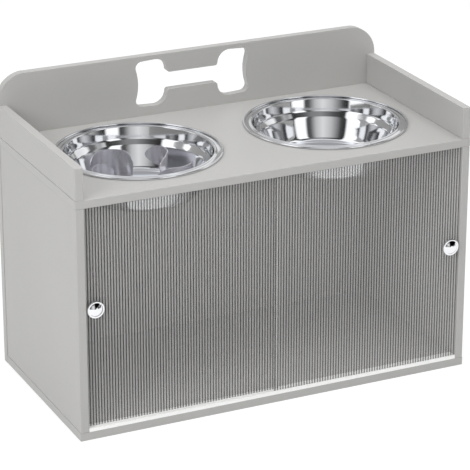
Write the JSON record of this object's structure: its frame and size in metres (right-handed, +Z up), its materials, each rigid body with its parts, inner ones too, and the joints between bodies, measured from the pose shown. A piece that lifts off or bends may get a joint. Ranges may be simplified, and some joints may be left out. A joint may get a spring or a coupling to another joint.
{
  "type": "elevated dog feeding station",
  "caption": "Laminated cabinet with a plain bowl and a slow-feeding bowl let into its top, a railed back board with a bone cut-out, and reeded sliding doors below.",
  "frame": {"origin": "on the floor under the middle of the cabinet, half way between the front edges of the boards and the back face of the back board", "axes": "+Z up, +X to the right seen from the front, -Y out of the front, where the doors are"},
  "size_m": [0.6, 0.3081, 0.44],
  "materials": {
    "laminate": "pale warm grey laminate on board, satin, all edges covered",
    "white_track": "white extruded plastic track",
    "reeded_sheet": "grey see-through plastic sheet with upright reeds on its front",
    "bright_knob": "bright plated metal",
    "polished_steel": "mirror-polished drawn stainless steel",
    "satin_steel": "satin stainless steel sheet",
    "zinc": "zinc-plated fittings",
    "beech": "plain beech dowels"
  },
  "bodies": {
    "cabinet": {"bottom_panel": "laminate", "left_side_panel": "laminate", "right_side_panel": "laminate", "top_panel": "laminate", "back_board": "laminate", "left_rail": "laminate", "right_rail": "laminate", "lower_track": "white_track", "upper_track": "white_track", "cam_locks": "zinc", "cam_bolts": "zinc", "panel_dowels": "beech", "rail_dowels": "beech", "bottom_screws": "zinc", "back_screws": "zinc"},
    "left_sliding_door": {"left_door": "reeded_sheet", "left_knob": "bright_knob", "left_knob_screw": "zinc"},
    "right_sliding_door": {"right_door": "reeded_sheet", "right_knob": "bright_knob", "right_knob_screw": "zinc"},
    "slow_feeder": {"slow_feeder_bowl": "polished_steel", "feeder_vanes": "satin_steel"},
    "water_bowl": {"plain_bowl": "polished_steel"}
  },
  "joints": [
    {"name": "left_door_slide", "type": "slide", "parent": "cabinet", "child": "left_sliding_door", "axis": [1, 0, 0], "range_m": [0, 0.127]},
    {"name": "right_door_slide", "type": "slide", "parent": "cabinet", "child": "right_sliding_door", "axis": [1, 0, 0], "range_m": [-0.127, 0]},
    {"name": "slow_feeder_lift", "type": "slide", "parent": "cabinet", "child": "slow_feeder", "axis": [0, 0, 1], "range_m": [0, 0.08]},
    {"name": "water_bowl_lift", "type": "slide", "parent": "cabinet", "child": "water_bowl", "axis": [0, 0, 1], "range_m": [0, 0.08]}
  ]
}
